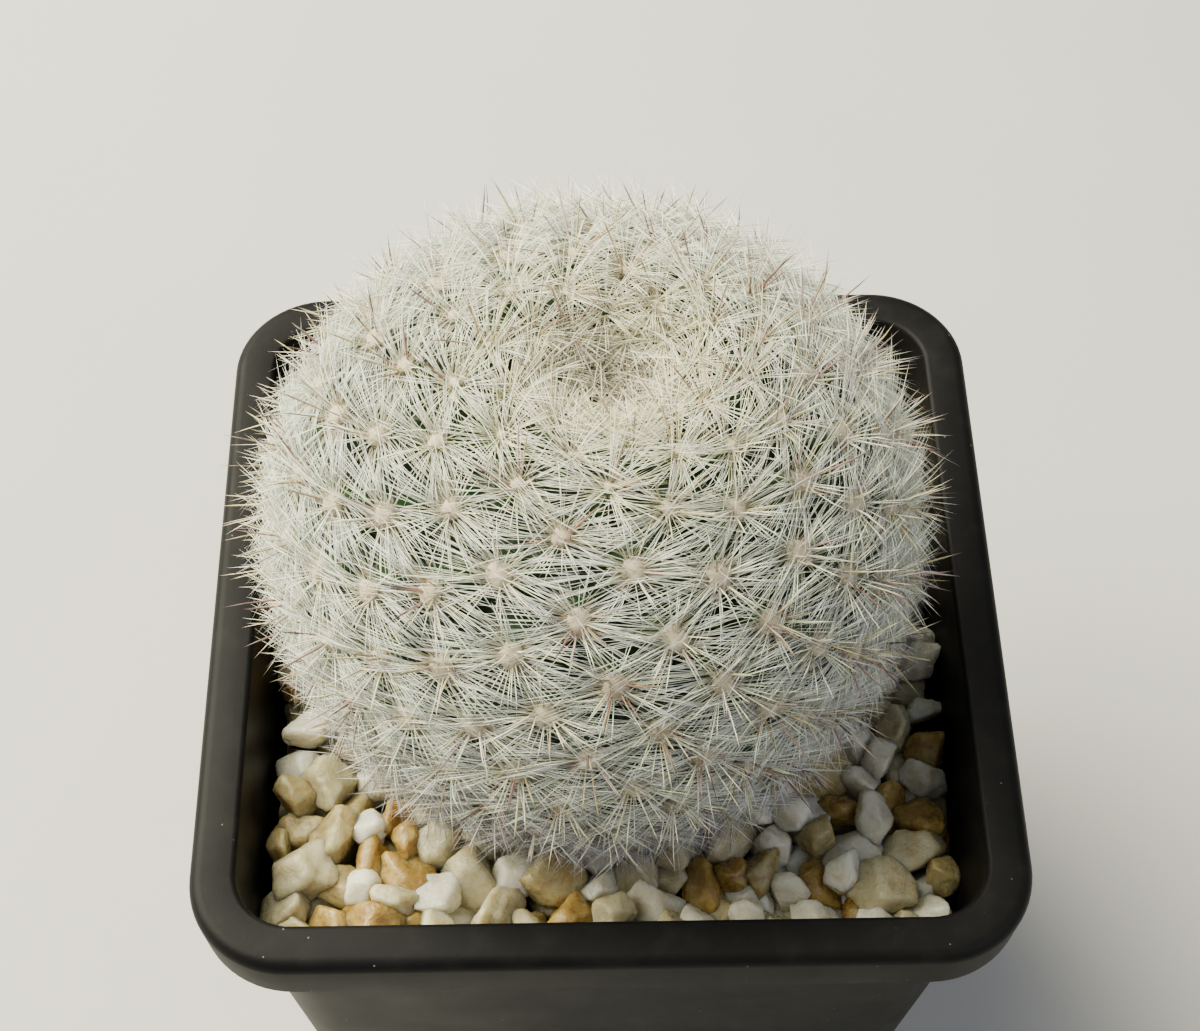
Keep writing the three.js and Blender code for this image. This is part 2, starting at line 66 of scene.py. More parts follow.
# Pot
POT_BASE = 52  # outside, at the foot
RIM_BAND = 3.9  # width of the rim's top face
RIM_CORNER = 8.5
SKIRT_HEIGHT = 5.6
SKIRT_TAPER = 0.25
SKIRT_ROUND = 0.3  # rounding at the skirt's lower edge
EDGE_ROUND = 1.15  # between the rim's top face and its skirt
INNER_ROUND = 0.5  # between the rim's top face and the wall inside
LIP_DEPTH = 6  # the wall's inner side starts at this depth under the rim
LIP_CORNER = 4.9
WALL = 1.0
WALL_CORNER = 5.5
BASE_CORNER = 4.5
FLOOR_RISE = 1.6  # how far the middle of the floor is lifted off the ground
FLOOR_ROUND = 1.5  # bevel between the wall and the floor inside
FOOT_WIDTH = 4.2
FOOT_SLOPE = 0.6
FOOT_ROUND = 0.7
FOOT_TOP = 6  # the wall is straight above this height
NOTCH_WIDTH = 9
DRAIN_RADIUS = 3.2
DRAIN_SPREAD = 12.5
DRAIN_SIDES = 40
CORNER_STEPS = 16
SHARP_ANGLE = 32  # degrees, above which an edge of the pot is drawn sharp

# Cactus: the frame's solid has the same profile, with fewer tubercles
BODY_RADIUS = 26.3
BODY_MIDDLE = 77.2
BODY_RISE = 21.2
BODY_DROP = 22.5
SQUARENESS_UP = 2.4  # exponent of the profile, where 2 is an ellipse
SQUARENESS_DOWN = 2.5
DIMPLE_DEPTH = 5.0
DIMPLE_RADIUS = 6.2
AXIS_X = -1.2  # the plant stands a little off the pot's middle
CROWN_X = 1.7  # and its growing point a little off its own axis
CROWN_Y = 1.2
COLLAR = 60  # tubercles stand above this height, and the stem is plain below it
COLLAR_FADE = 1.5
PROFILE_STEPS = 2400
ROOT_TOP_RADIUS = 7
ROOT_TIP_RADIUS = 2.5
ROOT_OVERLAP = 2.0  # the root reaches this far into the body
ROOT_SIDES = 20
ROOT_RINGS = 26
GOLDEN_ANGLE = math.pi * (3 - math.sqrt(5))
CELL_FULL = 32  # square millimetres of surface for a grown tubercle
CELL_YOUNG = 4  # and for one at the growing point
CELL_BURIED = 110
CELL_SPACING = 1.155  # squared spacing of the tubercles as a share of their cell
YOUNG_REACH = 21  # the young ones lie within this distance of the growing point
VALLEY_SHARE = 0.62  # depth of the valleys as a share of the spacing
VALLEY_MIDDLE = 0.56  # where a valley is deepest, as a share of the spacing
AREOLE_SHARE = 0.24  # how much of the way there the tubercle's tip is flat
VALLEY_POWER = 0.85
BODY_FREQUENCY = 64  # parts that each edge of the ball is split into

# Spines: how many on a grown areole, how long and how thick
RADIALS = 88
RADIAL_LENGTH = 7.4
RADIAL_WIDTH = 0.088
COMB_FAN = 25  # degrees that a comb spreads evenly
COMB_FLARE = 30  # and that its ends turn out besides
BRISTLES = 23
BRISTLE_LENGTH = 6.1
BRISTLE_WIDTH = 0.106
BRISTLE_TILT = 26
BRISTLE_LIFT = 0.3
CENTRALS = 8
CENTRAL_LENGTH = 5.9
CENTRAL_WIDTH = 0.19
CENTRAL_TILT = 58
PALE_WIDTH = 0.62  # a pale central spine's thickness as a share of a russet one's
LENGTH_SPREAD = (0.7, 1.1)  # shares of the full length
YOUNG_LENGTH = 0.45  # share of the full length at the growing point
YOUNG_ARC = 0.1
YOUNG_SPINES = 0.35  # youth from which the radial spines belong to the crown
SPINE_SINK = 0.25
SPINE_SWAY = 0.014
LIFT_TRIES = 14
LIFT_STEP = 7  # degrees that a spine is lifted at each try, to clear the stones
LIFT_LENGTH = 0.955  # and the share of its length that it keeps
SPINE_MARGIN = 0.1  # between the furthest spine and the frame's top
CENTRAL_TINTS = {
    # name: root, middle, tip, when young, when weathered
    "pale": ((0.7, 0.56, 0.42), (0.95, 0.93, 0.7), (0.84, 0.7, 0.5), (0.94, 0.87, 0.6)),
    "russet": (
        (0.62, 0.44, 0.33), (0.32, 0.15, 0.105), (0.05, 0.022, 0.019),
        (0.44, 0.27, 0.2), (0.12, 0.072, 0.062),
    ),
}

# Wool
AREOLE_RADIUS = 1.2
WOOL_REACH = (0.82, 0.92, 0.6)  # to the sides, up and down the body, and out of it
WOOL_SINK = 0.12
WOOL_LUMPS = ((4, 0.14), (8, 0.1))  # frequency and height of the cushion's lumps
WOOL_HAIRS = 165
WOOL_HAIR_WIDTH = 0.1
WOOL_HAIR_REACH = (1.05, 1.8)  # shares of the way through the cushion

# Grit
STONE_SMALLEST = 1.75
STONE_LARGEST = 2.55
CHIP_SMALLEST = 1.4
STONE_CLOSENESS = 0.83
STONE_FILL = 1.06  # a stone's size as a share of the place that it is given
STONE_FACES = (8, 13)
STONE_FACE_DEPTH = (0.7, 1.0)  # from the middle, as a share of the stone's size
STONE_CORNER = 1.22  # no corner is further out
STONE_SHARPNESS = (16, 34)  # a larger exponent rounds the edges less
STONE_LENGTH = (1.05, 1.42)  # shares of the stone's width
STONE_THICKNESS = (0.72, 0.96)
STONE_WAVES = ((3.0, 0.035), (6.5, 0.014), (12.0, 0.006))  # frequency and height of its unevenness
BED_REACH = 31
PLACES_TRIED = 160
MISSES_BEFORE_CHIPS = 25
MISSES_AT_END = 60
PLACES_SEEN = 6
SEEN_FREQUENCY = 6  # the same for a stone that is seen
HIDDEN_FREQUENCY = 2
# More and paler white stones on the right, darker kinds on the left: partly the grit's own mix, partly
# painted light where the plant shades the right-hand stones and painted shade where the lamp falls on the
# left.
STONE_KINDS = {
    # name: share on the left, share on the right, deep tint, pale tint, stain, how stained
    "white": (0.08, 0.5, (0.54, 0.51, 0.4), (0.75, 0.72, 0.6), (0.52, 0.385, 0.19), 0.1),
    "cream": (0.44, 0.32, (0.35, 0.318, 0.185), (0.49, 0.453, 0.305), (0.38, 0.265, 0.1), 0.24),
    "tan": (0.32, 0.06, (0.265, 0.213, 0.088), (0.385, 0.332, 0.175), (0.265, 0.158, 0.04), 0.4),
    "rust": (0.16, 0.12, (0.25, 0.152, 0.03), (0.4, 0.287, 0.09), (0.19, 0.088, 0.014), 0.48),
}

# Camera, fitted to the pot's rim in the photograph
PHOTO_WIDTH = 1200  # pixels
FOCAL_PIXELS = 2228.6
SENSOR = 36.0
ELEVATION = 0.977235  # radians below the horizon
ROLL = -0.0045747
POT_TURN = 0.0215181
RIM_DISTANCE = 199.08  # the middle of the rim from the camera: ahead, right and up
RIM_RIGHT = 0.527
RIM_UP = -7.168

# Light: place in metres, width in metres, power in watts and colour
LAMPS = {
    "key": ((-0.4, 0.215, 0.54), 0.71, 29.0, (1.0, 0.952, 0.745)),
    "fill": ((0.45, -0.3, 0.45), 0.6, 1.9, (0.94, 0.95, 1.0)),
}
SKY = (0.8, 0.9, 1.0)
SKY_STRENGTH = 0.185
FLOOR_REACH = 3.0  # metres from the middle to the floor's edge


def smooth(t):
    """An even step from 0 to 1, with no kink at either end."""
    x = np.clip(t, 0, 1)
    return x * x * (3 - 2 * x)


# Meshes

def add_object(name, data):
    """A new object in the scene."""
    made = bpy.data.objects.new(name, data)
    bpy.context.scene.collection.objects.link(made)
    return made


def make_piece(name, points, triangles, material, nodes, attributes=None):
    """A mesh from arrays of points in millimetres and of triangles, riding on the root body."""
    mesh = bpy.data.meshes.new(name)
    points = np.asarray(points, np.float32) * MM
    triangles = np.asarray(triangles, np.int32)
    mesh.vertices.add(len(points))
    mesh.vertices.foreach_set("co", points.ravel())
    mesh.loops.add(triangles.size)
    mesh.loops.foreach_set("vertex_index", triangles.ravel())
    mesh.polygons.add(len(triangles))
    mesh.polygons.foreach_set("loop_start", np.arange(0, triangles.size, 3, dtype=np.int32))
    mesh.update(calc_edges=True)
    mesh.validate()
    for key, values in (attributes or {}).items():
        layer = mesh.attributes.new(key, "FLOAT", "POINT")
        layer.data.foreach_set("value", np.asarray(values, np.float32))
    mesh.shade_smooth()
    mesh.materials.append(material)
    piece = add_object(name, mesh)
    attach(piece, "root")
    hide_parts(*nodes)
    return piece


def ball(frequency):
    """A unit ball of an icosahedron whose edges are split into frequency parts."""
    mesh = bmesh.new()
    bmesh.ops.create_icosphere(mesh, subdivisions=1, radius=1)
    corners = [[np.array(v.co) for v in f.verts] for f in mesh.faces]
    mesh.free()
    steps = [(i, j) for i in range(frequency + 1) for j in range(frequency + 1 - i)]
    number = {step: k for k, step in enumerate(steps)}
    pattern = [
        (number[i, j], number[i + 1, j], number[i, j + 1])
        for i, j in steps if i + j < frequency
    ]
    pattern += [
        (number[i + 1, j], number[i + 1, j + 1], number[i, j + 1])
        for i, j in steps if i + j < frequency - 1
    ]
    share = np.array(steps) / frequency
    points = np.concatenate([a + share[:, :1] * (b - a) + share[:, 1:] * (c - a) for a, b, c in corners])
    points /= np.linalg.norm(points, axis=1, keepdims=True)
    _, first, merged = np.unique(np.round(points, 5), axis=0, return_index=True, return_inverse=True)
    triangles = np.concatenate([np.array(pattern) + k * len(steps) for k in range(len(corners))])
    return points[first], merged.ravel()[triangles]


def stack(parts):
    """Joins several (points, triangles) into one pair of arrays."""
    points = np.concatenate([p for p, _ in parts])
    offsets = np.cumsum([0] + [len(p) for p, _ in parts[:-1]])
    triangles = np.concatenate([t + o for (_, t), o in zip(parts, offsets)])
    return points, triangles


# Materials

class Shader:
    """A Principled material and short ways to add the nodes that feed it."""

    def __init__(self, name):
        self.material = bpy.data.materials.new(name)
        self.material.use_nodes = True
        self.tree = self.material.node_tree
        self.principled = self.tree.nodes["Principled BSDF"]
        self.place = self.node("ShaderNodeTexCoord").outputs["Object"]

    def node(self, kind, inputs=None, **settings):
        made = self.tree.nodes.new(kind)
        for key, value in settings.items():
            setattr(made, key, value)
        for key, value in (inputs or {}).items():
            self.feed(made.inputs[key], value)
        return made

    def feed(self, socket, value):
        """Links a value that another node gives, or sets a plain one."""
        if isinstance(value, bpy.types.NodeSocket):
            self.tree.links.new(value, socket)
        else:
            socket.default_value = value

    def set(self, **values):
        """Feeds the Principled node's inputs, named with _ for a space."""
        for key, value in values.items():
            self.feed(self.principled.inputs[key.replace("_", " ")], value)

    def noise(self, size, detail=3.0, distortion=0.0):
        """Noise whose features are about size millimetres."""
        inputs = {"Vector": self.place, "Scale": 1 / (size * MM), "Detail": detail, "Distortion": distortion}
        return self.node("ShaderNodeTexNoise", inputs).outputs["Fac"]

    def cells(self, size):
        """The distance to the nearest of many spots, about size millimetres apart."""
        inputs = {"Vector": self.place, "Scale": 1 / (size * MM)}
        return self.node("ShaderNodeTexVoronoi", inputs).outputs["Distance"]

    def attribute(self, name):
        return self.node("ShaderNodeAttribute", attribute_name=name).outputs["Fac"]

    def spread(self, value, low, high, to_low=0.0, to_high=1.0):
        """The value's range from low to high, spread over another and held at its ends."""
        inputs = {"Value": value, "From Min": low, "From Max": high, "To Min": to_low, "To Max": to_high}
        return self.node("ShaderNodeMapRange", inputs).outputs["Result"]

    def mix(self, share, first, second):
        made = self.node("ShaderNodeMix", data_type="RGBA")
        self.feed(made.inputs[0], share)
        for number, colour in ((6, first), (7, second)):
            self.feed(made.inputs[number], (*colour, 1.0) if isinstance(colour, tuple) else colour)
        return made.outputs[2]

    def multiply(self, first, second):
        return self.math("MULTIPLY", first, second)

    def math(self, operation, first, second):
        return self.node("ShaderNodeMath", {0: first, 1: second}, operation=operation).outputs[0]

    def bump(self, height, distance, strength=1.0, onto=None):
        inputs = {"Height": height, "Distance": distance * MM, "Strength": strength}
        if onto is not None:
            inputs["Normal"] = onto
        return self.node("ShaderNodeBump", inputs).outputs["Normal"]


def pot_material():
    s = Shader("pot_plastic")
    patches = s.noise(9, 4)
    grain = s.noise(0.28, 2)
    specks = s.spread(s.cells(1.9), 0.045, 0.028)
    dust = s.multiply(s.spread(s.noise(2.6, 6), 0.5, 0.78), 0.15)
    plastic = s.mix(patches, (0.0035, 0.0035, 0.0037), (0.006, 0.006, 0.0065))
    dusty = s.mix(dust, plastic, (0.03, 0.029, 0.027))
    s.set(Base_Color=s.mix(s.multiply(specks, 0.5), dusty, (0.3, 0.29, 0.27)))
    s.set(Roughness=s.spread(patches, 0.25, 0.75, 0.42, 0.54), Specular_IOR_Level=0.09)
    waves = s.bump(s.noise(14, 2), 0.12, 0.5)
    s.set(Normal=s.bump(grain, 0.02, 0.5, waves))
    return s.material


def soil_material():
    s = Shader("potting_mix")
    crumbs = s.noise(1.6, 6, 0.4)
    flecks = s.spread(s.cells(1.7), 0.16, 0.1)
    earth = s.mix(crumbs, (0.018, 0.011, 0.007), (0.085, 0.052, 0.03))
    s.set(Base_Color=s.mix(s.multiply(flecks, 0.5), earth, (0.42, 0.4, 0.36)))
    s.set(Roughness=s.spread(crumbs, 0.2, 0.8, 0.8, 1.0))
    s.set(Normal=s.bump(crumbs, 0.6))
    return s.material


def stone_material(name, deep, pale, stain, staining):
    """Quartz: two tints that run into each other, stained patches and a waxy, finely pitted surface."""
    s = Shader(name)
    cloud = s.spread(s.noise(2.3, 5, 0.6), 0.3, 0.7)
    veins = s.spread(s.noise(1.5, 4, 1.2), 0.58 - 0.25 * staining, 0.74 - 0.25 * staining)
    tone = s.spread(s.attribute("tone"), 0, 1, 0.0, 0.55)
    tinted = s.mix(tone, s.mix(cloud, deep, pale), pale)
    s.set(Base_Color=s.mix(s.multiply(veins, 0.35 + 0.6 * staining), tinted, stain))
    s.set(Roughness=s.spread(s.noise(0.5, 4), 0.3, 0.7, 0.16, 0.46))
    s.set(Subsurface_Weight=0.85, Subsurface_Scale=3 * MM, Subsurface_Radius=(1.0, 0.85, 0.55))
    chips = s.bump(s.noise(0.9, 6, 0.5), 0.26, 0.9)
    s.set(Normal=s.bump(s.noise(0.22, 4), 0.045, 0.9, chips))
    return s.material


def skin_material():
    s = Shader("cactus_skin")
    valley = s.attribute("valley")
    blotches = s.noise(1.2, 4)
    green = s.mix(blotches, (0.01, 0.045, 0.007), (0.02, 0.07, 0.014))
    # Painted shade: the green darkens to near black down in the valleys between the tubercles.
    with_painted_valley_shade = s.mix(s.spread(valley, 0.15, 0.8), green, (0.004, 0.021, 0.004))
    corky = s.mix(s.spread(s.attribute("age"), 0.86, 1.0), with_painted_valley_shade, (0.16, 0.13, 0.075))
    s.set(Base_Color=corky)
    s.set(Roughness=s.spread(blotches, 0.3, 0.7, 0.38, 0.55))
    s.set(Normal=s.bump(s.noise(0.22, 3), 0.03, 0.7))
    return s.material


def root_material():
    s = Shader("root_bark")
    bark = s.noise(1.3, 6, 0.8)
    s.set(Base_Color=s.mix(bark, (0.12, 0.075, 0.04), (0.34, 0.25, 0.15)))
    s.set(Roughness=s.spread(bark, 0.2, 0.8, 0.7, 0.95))
    s.set(Normal=s.bump(bark, 0.4))
    return s.material


def wool_material():
    s = Shader("areole_wool")
    felt = s.noise(0.3, 4)
    old = s.mix(felt, (0.33, 0.258, 0.205), (0.5, 0.405, 0.325))
    young = s.mix(felt, (0.53, 0.46, 0.32), (0.72, 0.65, 0.45))
    s.set(Base_Color=s.mix(s.attribute("age"), young, old))
    s.set(Roughness=s.spread(felt, 0.2, 0.8, 0.8, 1.0))
    s.set(Normal=s.bump(felt, 0.08))
    return s.material


def spine_material(name, root, middle, tip, young, weathered=(0.41, 0.352, 0.36)):
    """A spine's colour runs from root to tip, has a tone of its own, and is warmer where it is young."""
    s = Shader(name)
    along = s.attribute("along")
    lower = s.mix(s.spread(along, 0.06, 0.3), root, middle)
    whole = s.mix(s.spread(along, 0.4, 0.7), lower, tip)
    warm = s.mix(s.multiply(s.attribute("youth"), 0.75), whole, young)
    rosy = s.mix(s.spread(s.attribute("tint"), 0.5, 0.0, 0.0, 0.5), warm, (0.8, 0.69, 0.7))
    tinted = s.mix(s.spread(s.attribute("tint"), 0.5, 1.0, 0.0, 0.65), rosy, (0.92, 0.93, 0.46))
    # Painted shade: the youngest spines, down in the hollow at the growing point, are greyed and darkened.
    with_painted_hollow_shade = s.mix(s.spread(s.attribute("youth"), 0.82, 0.98, 0.0, 0.8), tinted, (0.48, 0.44, 0.38))
    tone = s.spread(s.attribute("tone"), 0, 1, 0.34, 0.0)
    fibre = s.noise(0.45, 2)
    streaks = s.math("ADD", tone, s.spread(fibre, 0.3, 0.7, 0.06, 0.0))
    # Young spines keep less of the random greying: partly their fresher colour, partly painted light that
    # lifts the crown ring.
    greying_kept = s.spread(s.attribute("youth"), 0.1, 0.6, 1.0, 0.3)
    shade = s.math("ADD", s.multiply(streaks, greying_kept), s.multiply(s.attribute("age"), 0.55))
    s.set(Base_Color=s.mix(shade, with_painted_hollow_shade, weathered))
    s.set(Roughness=s.spread(fibre, 0.3, 0.7, 0.36, 0.52))
    s.set(Normal=s.bump(s.noise(0.12, 1), 0.008, 0.5))
    return s.material


# Pot

def rounded_square(side, corner, z):
    """Points round a square with round corners, anticlockwise from above."""
    points = []
    inset = side / 2 - corner
    for quarter in range(4):
        start = quarter * math.pi / 2
        cx = inset * math.copysign(1, math.cos(start + math.pi / 4))
        cy = inset * math.copysign(1, math.sin(start + math.pi / 4))
        for i in range(CORNER_STEPS + 1):
            angle = start + i / CORNER_STEPS * math.pi / 2
            points.append((cx + corner * math.cos(angle), cy + corner * math.sin(angle), z))
    return np.array(points)


def wall_at(z):
    """The pot wall's outer side and corner radius at a height."""
    t = z / POT_HEIGHT
    top_side = POT_SIDE - 2 * RIM_BAND + 2 * WALL
    return POT_BASE + (top_side - POT_BASE) * t, BASE_CORNER + (WALL_CORNER - BASE_CORNER) * t


def outer_ring(z, inset=0.0):
    """A ring on the wall's outer side, or inset from it."""
    side, corner = wall_at(z)
    return rounded_square(side - 2 * inset, max(1.0, corner - inset), z)


def inner_ring(z, inset=0.0):
    """A ring on the wall's inner side, or inset from it."""
    side, corner = wall_at(z)
    return rounded_square(side - 2 * (WALL + inset), max(0.8, corner - WALL - inset), z)


def loft(rings):
    """Closed skin over a stack of rings, with a fan at each end."""
    count = len(rings[0])
    points = np.concatenate(rings + [[np.mean(rings[0], axis=0)], [np.mean(rings[-1], axis=0)]])
    here = np.arange(count)
    after = (here + 1) % count
    triangles = []
    for r in range(len(rings) - 1):
        a, b = r * count + here, r * count + after
        triangles += [np.stack([a, b, b + count], 1), np.stack([a, b + count, a + count], 1)]
    last = (len(rings) - 1) * count
    triangles.append(np.stack([np.full(count, len(points) - 2), after, here], 1))
    triangles.append(np.stack([np.full(count, len(points) - 1), last + here, last + after], 1))
    return points, np.concatenate(triangles)


def quarter_turn(steps):
    """The cosine and sine of each angle along a quarter turn."""
    angles = [i / steps * math.pi / 2 for i in range(steps + 1)]
    return [(math.cos(angle), math.sin(angle)) for angle in angles]


def pot_rings():
    """The pot as a stack of rings, from under its floor, up, over the rim and down to the floor inside."""
    skirt_bottom = POT_HEIGHT - SKIRT_HEIGHT
    rim_under = POT_HEIGHT - WALL
    skirt_inner = POT_SIDE - 2 * WALL
    lip = POT_SIDE - 2 * RIM_BAND
    floor_top = FLOOR_RISE + WALL
    rings = [outer_ring(FLOOR_RISE, FOOT_WIDTH + 6), outer_ring(FLOOR_RISE, FOOT_WIDTH + FOOT_SLOPE)]
    rings += [outer_ring(0, FOOT_WIDTH)]
    rings += [outer_ring(FOOT_ROUND * (1 - cos), FOOT_ROUND * (1 - sin)) for cos, sin in quarter_turn(4)]
    rings += [outer_ring(z) for z in np.linspace(FOOT_TOP, skirt_bottom, 6)]
    rings += [outer_ring(rim_under)]
    rings += [rounded_square(skirt_inner, RIM_CORNER - WALL, rim_under)]
    rings += [rounded_square(skirt_inner - 2 * SKIRT_TAPER, RIM_CORNER - WALL, skirt_bottom)]
    skirt_edge = POT_SIDE - 2 * (SKIRT_TAPER + SKIRT_ROUND)
    rings += [rounded_square(skirt_edge, RIM_CORNER - SKIRT_ROUND, skirt_bottom)]
    rings += [rounded_square(POT_SIDE - 2 * SKIRT_TAPER, RIM_CORNER, skirt_bottom + SKIRT_ROUND)]
    for cos, sin in quarter_turn(7):
        inset = EDGE_ROUND * (1 - cos)
        z = POT_HEIGHT - EDGE_ROUND * (1 - sin)
        rings.append(rounded_square(POT_SIDE - 2 * inset, RIM_CORNER - inset, z))
    for cos, sin in quarter_turn(4):
        out = INNER_ROUND * (1 - sin)
        z = POT_HEIGHT - INNER_ROUND * (1 - cos)
        rings.append(rounded_square(lip + 2 * out, LIP_CORNER + out, z))
    rings += [inner_ring(z) for z in np.linspace(POT_HEIGHT - LIP_DEPTH, floor_top + FLOOR_ROUND, 5)]
    rings += [inner_ring(floor_top + 0.5, 0.4), inner_ring(floor_top, FLOOR_ROUND)]
    return rings


def cutter(name, build):
    """A mesh that a Boolean modifier cuts with."""
    mesh = bmesh.new()
    build(mesh)
    data = bpy.data.meshes.new(name)
    mesh.to_mesh(data)
    mesh.free()
    return add_object(name, data)


def make_pot():
    """The pot's skin, with the drain holes and the foot's notches cut out of it."""
    points, triangles = loft(pot_rings())
    pot = make_piece("pot_shell", points, triangles, pot_material(), ["pot"])

    def build(mesh):
        radius, spread = DRAIN_RADIUS * MM, DRAIN_SPREAD * MM
        spots = [(0, 0)] + [(x, y) for x in (-spread, spread) for y in (-spread, spread)]
        for spot in spots:
            bmesh.ops.create_cone(
                mesh, cap_ends=True, segments=DRAIN_SIDES, radius1=radius, radius2=radius,
                depth=12 * MM, matrix=Matrix.Translation((*spot, 0)))
        reach = (POT_BASE + 4) * MM
        height = 2 * (FLOOR_RISE - 0.3) * MM
        for size in ((NOTCH_WIDTH * MM, reach, height), (reach, NOTCH_WIDTH * MM, height)):
            bmesh.ops.create_cube(mesh, size=1, matrix=Matrix.Diagonal((*size, 1)))

    tool = cutter("pot_cutter", build)
    cut = pot.modifiers.new("cut", "BOOLEAN")
    cut.operation = "DIFFERENCE"
    cut.solver = "EXACT"
    cut.use_self = True
    cut.object = tool
    graph = bpy.context.evaluated_depsgraph_get()
    result = bpy.data.meshes.new_from_object(pot.evaluated_get(graph))
    pot.modifiers.clear()
    pot.data = result
    bpy.data.objects.remove(tool)
    pot.data.shade_smooth()
    pot.data.set_sharp_from_angle(angle=math.radians(SHARP_ANGLE))


# Cactus body

def body_profile():
    """Rows along the profile from the growing point to the underside, as arrays."""
    theta = np.arange(1, PROFILE_STEPS) / PROFILE_STEPS * math.pi
    up = theta < math.pi / 2
    power = 2 / np.where(up, SQUARENESS_UP, SQUARENESS_DOWN)
    radius = BODY_RADIUS * np.sin(theta) ** power
    rise = np.abs(np.cos(theta)) ** power
    dimple = np.where(up, DIMPLE_DEPTH * np.exp(-((radius / DIMPLE_RADIUS) ** 2)), 0)
    height = BODY_MIDDLE + np.where(up, BODY_RISE, -BODY_DROP) * rise - dimple
    before_r = np.r_[0, radius[:-1]]
    before_z = np.r_[BODY_MIDDLE + BODY_RISE - DIMPLE_DEPTH, height[:-1]]
    step = np.hypot(radius - before_r, height - before_z)
    along = np.cumsum(step)
    cell = CELL_YOUNG + (CELL_FULL - CELL_YOUNG) * smooth(along / YOUNG_REACH)
    cell = np.where(~up & (height < COLLAR - COLLAR_FADE), CELL_BURIED, cell)
    middle = (radius + before_r) / 2
    isothermal = np.cumsum(step / np.maximum(middle, 1e-3))
    return {
        "radius": radius,
        "height": height,
        "along": along,
        "cell": cell,
        "cells": np.cumsum(2 * math.pi * middle * step / cell),
        "polar": 2 * np.arctan(np.exp(isothermal - isothermal[PROFILE_STEPS // 2])),
        "normal_r": -(height - before_z) / step,
        "normal_z": (radius - before_r) / step,
    }


def settle(points):
    """The plant stands a little off the pot's middle, with its growing point off its own axis."""
    out = np.hypot(points[:, 0], points[:, 1]) / BODY_RADIUS
    share = np.where(points[:, 2] > BODY_MIDDLE, smooth(1 - out), 0)
    return points + np.stack([AXIS_X + CROWN_X * share, CROWN_Y * share, 0 * share], 1)


def make_areoles(profile):
    """Where each tubercle's tip is, one for each cell of surface along a spiral of the golden angle."""
    total = int(profile["cells"][-1] - 0.6)
    index = np.arange(total)
    row = np.searchsorted(profile["cells"], index + 0.5)
    turn = index * GOLDEN_ANGLE
    out = np.stack([np.cos(turn), np.sin(turn), np.zeros(total)], 1)
    up = np.array([0.0, 0.0, 1.0])
    tip = out * profile["radius"][row, None] + up * profile["height"][row, None]
    normal = out * profile["normal_r"][row, None] + up * profile["normal_z"][row, None]
    normal /= np.linalg.norm(normal, axis=1, keepdims=True)
    east = np.cross(up, normal)
    east /= np.linalg.norm(east, axis=1, keepdims=True)
    grown = smooth(profile["along"][row] / YOUNG_REACH)
    keep = (tip[:, 2] >= COLLAR) | (profile["along"][row] <= YOUNG_REACH)
    spots = {
        "upright_tip": tip,
        "tip": settle(tip),
        "out": out,
        "normal": normal,
        "east": east,
        "north": np.cross(normal, east),
        "spacing": np.sqrt(profile["cell"][row] * CELL_SPACING),
        "grown": grown,
        "age": smooth((BODY_MIDDLE + 2 - tip[:, 2]) / (BODY_MIDDLE + 2 - COLLAR)),
    }
    return {key: value[keep] for key, value in spots.items()}


def nearest(points, spots, block=4000):
    """The nearest spot to each point and its distance, worked out in blocks."""
    best = np.empty(len(points), int)
    distance = np.empty(len(points))
    for start in range(0, len(points), block):
        part = slice(start, start + block)
        gaps = np.linalg.norm(points[part, None] - spots[None], axis=2)
        best[part] = gaps.argmin(1)
        distance[part] = gaps.min(1)
    return best, distance


def make_body(profile, areoles):
    """The body's skin: a ball laid on the profile, with valleys sunk between the tubercles."""
    directions, triangles = ball(BODY_FREQUENCY)
    polar = np.arccos(np.clip(directions[:, 2], -1, 1))
    turn = np.arctan2(directions[:, 1], directions[:, 0])
    ends = {
        "radius": (0, 0),
        "height": (BODY_MIDDLE + BODY_RISE - DIMPLE_DEPTH, BODY_MIDDLE - BODY_DROP),
        "normal_r": (0, 0),
        "normal_z": (1, -1),
    }
    angles = np.r_[0, profile["polar"], math.pi]
    radius, height, normal_r, normal_z = (
        np.interp(polar, angles, np.r_[first, profile[key], last]) for key, (first, last) in ends.items()
    )
    points = np.stack([radius * np.cos(turn), radius * np.sin(turn), height], 1)
    normals = np.stack([normal_r * np.cos(turn), normal_r * np.sin(turn), normal_z], 1)
    owner, distance = nearest(points, areoles["upright_tip"])
    spacing = areoles["spacing"][owner]
    share = np.clip(distance / (VALLEY_MIDDLE * spacing), 0, 1)
    valley = np.clip((share - AREOLE_SHARE) / (1 - AREOLE_SHARE), 0, 1) ** VALLEY_POWER
    grip = smooth((height - COLLAR + COLLAR_FADE) / (COLLAR_FADE + 1))
    depth = VALLEY_SHARE * spacing * valley * grip
    points -= normals * depth[:, None]
    age = np.clip((BODY_MIDDLE - height) / (BODY_MIDDLE - COLLAR), 0, 1)
    # valley also masks the skin's painted shade in the valleys.
    attributes = {"valley": valley * grip, "age": age}
    points = settle(points)
    make_piece("cactus_body", points, triangles, skin_material(), ["cactus"], attributes)


